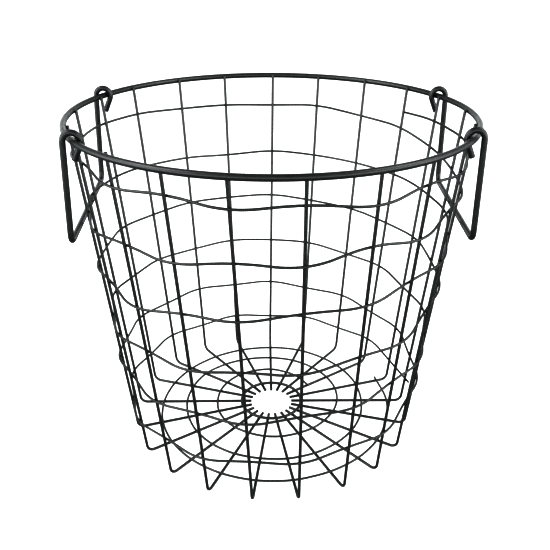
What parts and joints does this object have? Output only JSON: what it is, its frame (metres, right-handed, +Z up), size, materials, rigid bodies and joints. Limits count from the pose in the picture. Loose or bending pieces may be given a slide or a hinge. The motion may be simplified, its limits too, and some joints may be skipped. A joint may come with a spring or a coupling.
{
  "type": "egg collection basket",
  "caption": "Round tapered basket of black coated wire with a woven wall, a spoked floor and a swing handle hooked over the rim on each side.",
  "frame": {"origin": "on the basket's axis, on the surface it stands on", "axes": "+Z up, +X towards the right handle, +Y towards the back"},
  "size_m": [0.303, 0.303, 0.2749],
  "materials": {
    "frame_wire": "satin black powder coat on steel wire",
    "woven_wire": "satin black powder coat on thin steel wire",
    "handle_wire": "satin black powder coat on thick steel wire"
  },
  "bodies": {
    "basket": {"rim_ring": "frame_wire", "hub_ring": "frame_wire", "stave_01": "frame_wire", "stave_02": "frame_wire", "stave_03": "frame_wire", "stave_04": "frame_wire", "stave_05": "frame_wire", "stave_06": "frame_wire", "stave_07": "frame_wire", "stave_08": "frame_wire", "stave_09": "frame_wire", "stave_10": "frame_wire", "stave_11": "frame_wire", "stave_12": "frame_wire", "stave_13": "frame_wire", "stave_14": "frame_wire", "stave_15": "frame_wire", "stave_16": "frame_wire", "stave_17": "frame_wire", "stave_18": "frame_wire", "stave_19": "frame_wire", "stave_20": "frame_wire", "stave_21": "frame_wire", "floor_wire": "woven_wire", "side_wire_turn_1": "woven_wire", "side_wire_turn_2": "woven_wire", "side_wire_turn_3": "woven_wire", "side_wire_turn_4": "woven_wire", "side_wire_turn_5": "woven_wire", "side_wire_turn_6": "woven_wire"},
    "left_handle": {"left_handle": "handle_wire"},
    "right_handle": {"right_handle": "handle_wire"}
  },
  "joints": [
    {"name": "left_handle_swing", "type": "hinge", "parent": "basket", "child": "left_handle", "pos_m": [-0.13226, -0.00832, 0.267], "axis": [-0.0628, 0.998, 0], "range_deg": [0, 300]},
    {"name": "right_handle_swing", "type": "hinge", "parent": "basket", "child": "right_handle", "pos_m": [0.13437, -0.00342, 0.267], "axis": [-0.0254, -0.9997, 0], "range_deg": [0, 300]}
  ]
}
